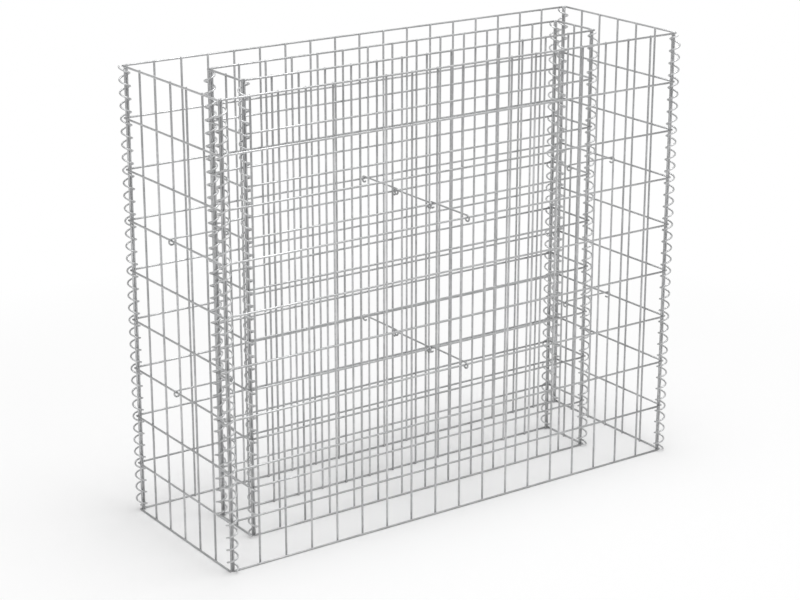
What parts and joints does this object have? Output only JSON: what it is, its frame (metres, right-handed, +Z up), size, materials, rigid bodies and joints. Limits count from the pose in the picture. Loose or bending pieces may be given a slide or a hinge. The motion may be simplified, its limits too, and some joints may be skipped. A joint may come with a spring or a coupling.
{
  "type": "gabion raised bed",
  "caption": "Tall narrow raised bed of welded wire mesh: an open wire basket inside a larger one, bound at the corners by wire spirals and held apart by hooked tie wires.",
  "frame": {"origin": "on the ground at the middle of the bed", "axes": "+X along the bed to the right, +Y towards the back, +Z up"},
  "size_m": [0.9262, 0.3262, 0.7775],
  "materials": {
    "mesh_wire": "hot-dip galvanised wire, satin grey",
    "spiral_wire": "galvanised spring wire, satin grey",
    "tie_wire": "galvanised drawn wire, satin grey"
  },
  "bodies": {
    "root": {"outer_front_panel": "mesh_wire", "outer_back_panel": "mesh_wire", "outer_left_panel": "mesh_wire", "outer_right_panel": "mesh_wire", "inner_front_panel": "mesh_wire", "inner_back_panel": "mesh_wire", "inner_left_panel": "mesh_wire", "inner_right_panel": "mesh_wire", "outer_front_left_spiral": "spiral_wire", "outer_front_right_spiral": "spiral_wire", "outer_back_left_spiral": "spiral_wire", "outer_back_right_spiral": "spiral_wire", "inner_front_left_spiral": "spiral_wire", "inner_front_right_spiral": "spiral_wire", "inner_back_left_spiral": "spiral_wire", "inner_back_right_spiral": "spiral_wire", "lower_front_tie": "tie_wire", "lower_centre_tie": "tie_wire", "lower_back_tie": "tie_wire", "lower_left_tie": "tie_wire", "lower_right_tie": "tie_wire", "upper_front_tie": "tie_wire", "upper_centre_tie": "tie_wire", "upper_back_tie": "tie_wire", "upper_left_tie": "tie_wire", "upper_right_tie": "tie_wire"}
  },
  "joints": []
}
